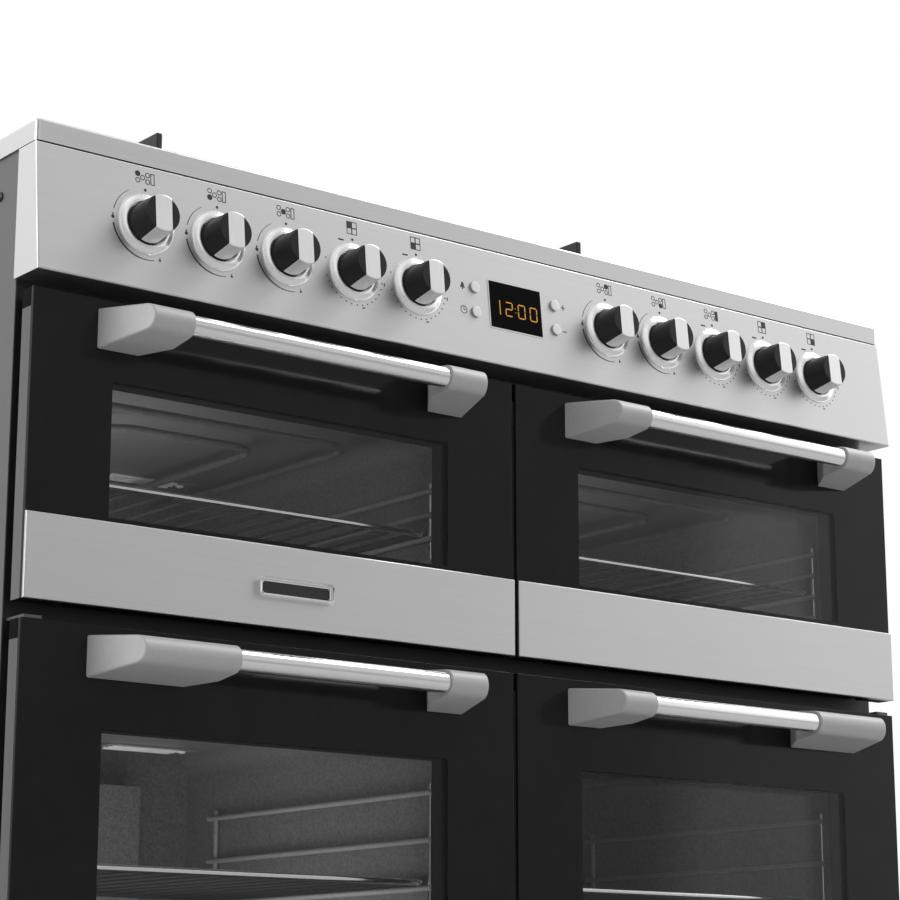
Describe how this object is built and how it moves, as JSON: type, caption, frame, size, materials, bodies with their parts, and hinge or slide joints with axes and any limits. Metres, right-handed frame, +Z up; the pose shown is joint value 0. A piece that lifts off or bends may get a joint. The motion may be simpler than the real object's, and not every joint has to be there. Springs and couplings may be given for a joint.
{
  "type": "range cooker",
  "caption": "Wide free-standing range cooker with gas burners, a hot zone, a leaning control panel and glass-doored ovens.",
  "frame": {"origin": "on the floor, midway across the width and midway between the handle fronts and the rear edges", "axes": "+X to the cook's right, +Y to the rear, +Z up"},
  "size_m": [1, 0.66, 0.936],
  "materials": {
    "brushed_steel": "brushed stainless steel",
    "side_paint": "satin dark grey paint",
    "zinc_sheet": "zinc coated sheet",
    "black_paint": "satin black paint",
    "black_plastic": "moulded, matte",
    "satin_chrome": "satin chrome",
    "clock_black": "gloss black lens",
    "brass": "turned",
    "burner_alloy": "die cast",
    "black_enamel": "satin vitreous enamel",
    "cast_iron": "black enamelled casting",
    "hot_glass": "black glass ceramic",
    "grey_enamel": "speckled grey enamel",
    "bright_wire": "bright plated wire",
    "element_steel": "heat dulled steel",
    "seal_rubber": "moulded",
    "knob_black": "satin black with a silver grip",
    "button_silver": "silver lacquered",
    "door_alloy": "satin",
    "door_glass": "black printed, tinted window",
    "inner_glass": "clear",
    "handle_metal": "chromed bar, satin ends"
  },
  "bodies": {
    "cooker": {"side_panels": "side_paint", "rear_panel": "zinc_sheet", "base_tray": "zinc_sheet", "plinth": "black_paint", "levelling_feet": "black_plastic", "front_frame": "black_paint", "hinge_brackets": "zinc_sheet", "hob_tray": "brushed_steel", "control_fascia": "brushed_steel", "knob_bezels": "satin_chrome", "clock_module": "clock_black", "gas_rail": "zinc_sheet", "gas_taps": "brass", "oven_controls": "black_plastic", "burner_bodies": "burner_alloy", "burner_caps": "black_enamel", "pan_supports": "cast_iron", "hot_zone_glass": "hot_glass", "oven_liners": "grey_enamel", "shelf_racks": "bright_wire", "oven_shelves": "bright_wire", "heating_elements": "element_steel", "fan_cover": "grey_enamel", "fan_motor": "zinc_sheet", "door_seals": "seal_rubber"},
    "oven_fan": {"oven_fan": "element_steel"},
    "door_upper_left": {"door_frame_upper_left": "door_alloy", "door_glass_upper_left": "door_glass", "door_inner_glass_upper_left": "inner_glass", "door_trim_upper_left": "brushed_steel", "door_handle_upper_left": "handle_metal"},
    "door_upper_right": {"door_frame_upper_right": "door_alloy", "door_glass_upper_right": "door_glass", "door_inner_glass_upper_right": "inner_glass", "door_trim_upper_right": "brushed_steel", "door_handle_upper_right": "handle_metal"},
    "door_lower_left": {"door_frame_lower_left": "door_alloy", "door_glass_lower_left": "door_glass", "door_inner_glass_lower_left": "inner_glass", "door_trim_lower_left": "brushed_steel", "door_handle_lower_left": "handle_metal"},
    "door_lower_right": {"door_frame_lower_right": "door_alloy", "door_glass_lower_right": "door_glass", "door_inner_glass_lower_right": "inner_glass", "door_trim_lower_right": "brushed_steel", "door_handle_lower_right": "handle_metal"},
    "knob_rear_left_burner": {"knob_rear_left_burner": "knob_black"},
    "knob_front_left_burner": {"knob_front_left_burner": "knob_black"},
    "knob_centre_burner": {"knob_centre_burner": "knob_black"},
    "knob_upper_left_oven": {"knob_upper_left_oven": "knob_black"},
    "knob_lower_left_oven": {"knob_lower_left_oven": "knob_black"},
    "knob_rear_right_burner": {"knob_rear_right_burner": "knob_black"},
    "knob_front_right_burner": {"knob_front_right_burner": "knob_black"},
    "knob_hot_zone": {"knob_hot_zone": "knob_black"},
    "knob_upper_right_oven": {"knob_upper_right_oven": "knob_black"},
    "knob_lower_right_oven": {"knob_lower_right_oven": "knob_black"},
    "button_timer": {"button_timer": "button_silver"},
    "button_clock": {"button_clock": "button_silver"},
    "button_plus": {"button_plus": "button_silver"},
    "button_minus": {"button_minus": "button_silver"}
  },
  "joints": [
    {"name": "door_upper_left_drop", "type": "hinge", "parent": "cooker", "child": "door_upper_left", "pos_m": [-0.25015, -0.259, 0.5162], "axis": [1, 0, 0], "range_deg": [0, 90], "stiffness_Nm_per_rad": 1, "springref_deg": -68.75},
    {"name": "door_upper_right_drop", "type": "hinge", "parent": "cooker", "child": "door_upper_right", "pos_m": [0.25015, -0.259, 0.5162], "axis": [1, 0, 0], "range_deg": [0, 90], "stiffness_Nm_per_rad": 1, "springref_deg": -68.75},
    {"name": "door_lower_left_swing", "type": "hinge", "parent": "cooker", "child": "door_lower_left", "pos_m": [-0.486, -0.259, 0.3017], "axis": [0, 0, -1], "range_deg": [0, 100]},
    {"name": "door_lower_right_swing", "type": "hinge", "parent": "cooker", "child": "door_lower_right", "pos_m": [0.486, -0.259, 0.3017], "axis": [0, 0, 1], "range_deg": [0, 100]},
    {"name": "knob_rear_left_burner_turn", "type": "hinge", "parent": "cooker", "child": "knob_rear_left_burner", "pos_m": [-0.398, -0.2732, 0.82769], "axis": [0, -0.9951, 0.0986], "range_deg": [0, 180]},
    {"name": "knob_front_left_burner_turn", "type": "hinge", "parent": "cooker", "child": "knob_front_left_burner", "pos_m": [-0.327, -0.2732, 0.82769], "axis": [0, -0.9951, 0.0986], "range_deg": [0, 180]},
    {"name": "knob_centre_burner_turn", "type": "hinge", "parent": "cooker", "child": "knob_centre_burner", "pos_m": [-0.256, -0.2732, 0.82769], "axis": [0, -0.9951, 0.0986], "range_deg": [0, 180]},
    {"name": "knob_upper_left_oven_turn", "type": "hinge", "parent": "cooker", "child": "knob_upper_left_oven", "pos_m": [-0.185, -0.2732, 0.82769], "axis": [0, 0.9951, -0.0986], "range_deg": [0, 300]},
    {"name": "knob_lower_left_oven_turn", "type": "hinge", "parent": "cooker", "child": "knob_lower_left_oven", "pos_m": [-0.114, -0.2732, 0.82769], "axis": [0, 0.9951, -0.0986], "range_deg": [0, 300]},
    {"name": "knob_rear_right_burner_turn", "type": "hinge", "parent": "cooker", "child": "knob_rear_right_burner", "pos_m": [0.114, -0.2732, 0.82769], "axis": [0, -0.9951, 0.0986], "range_deg": [0, 180]},
    {"name": "knob_front_right_burner_turn", "type": "hinge", "parent": "cooker", "child": "knob_front_right_burner", "pos_m": [0.185, -0.2732, 0.82769], "axis": [0, -0.9951, 0.0986], "range_deg": [0, 180]},
    {"name": "knob_hot_zone_turn", "type": "hinge", "parent": "cooker", "child": "knob_hot_zone", "pos_m": [0.256, -0.2732, 0.82769], "axis": [0, 0.9951, -0.0986], "range_deg": [0, 300]},
    {"name": "knob_upper_right_oven_turn", "type": "hinge", "parent": "cooker", "child": "knob_upper_right_oven", "pos_m": [0.327, -0.2732, 0.82769], "axis": [0, 0.9951, -0.0986], "range_deg": [0, 300]},
    {"name": "knob_lower_right_oven_turn", "type": "hinge", "parent": "cooker", "child": "knob_lower_right_oven", "pos_m": [0.398, -0.2732, 0.82769], "axis": [0, 0.9951, -0.0986], "range_deg": [0, 300]},
    {"name": "button_timer_press", "type": "slide", "parent": "cooker", "child": "button_timer", "axis": [0, 0.9951, -0.0986], "range_m": [0, 0.0015], "stiffness_N_per_m": 400},
    {"name": "button_clock_press", "type": "slide", "parent": "cooker", "child": "button_clock", "axis": [0, 0.9951, -0.0986], "range_m": [0, 0.0015], "stiffness_N_per_m": 400},
    {"name": "button_plus_press", "type": "slide", "parent": "cooker", "child": "button_plus", "axis": [0, 0.9951, -0.0986], "range_m": [0, 0.0015], "stiffness_N_per_m": 400},
    {"name": "button_minus_press", "type": "slide", "parent": "cooker", "child": "button_minus", "axis": [0, 0.9951, -0.0986], "range_m": [0, 0.0015], "stiffness_N_per_m": 400},
    {"name": "oven_fan_spin", "type": "hinge", "parent": "cooker", "child": "oven_fan", "pos_m": [-0.25015, 0.1925, 0.3017], "axis": [0, 1, 0], "continuous": true}
  ]
}
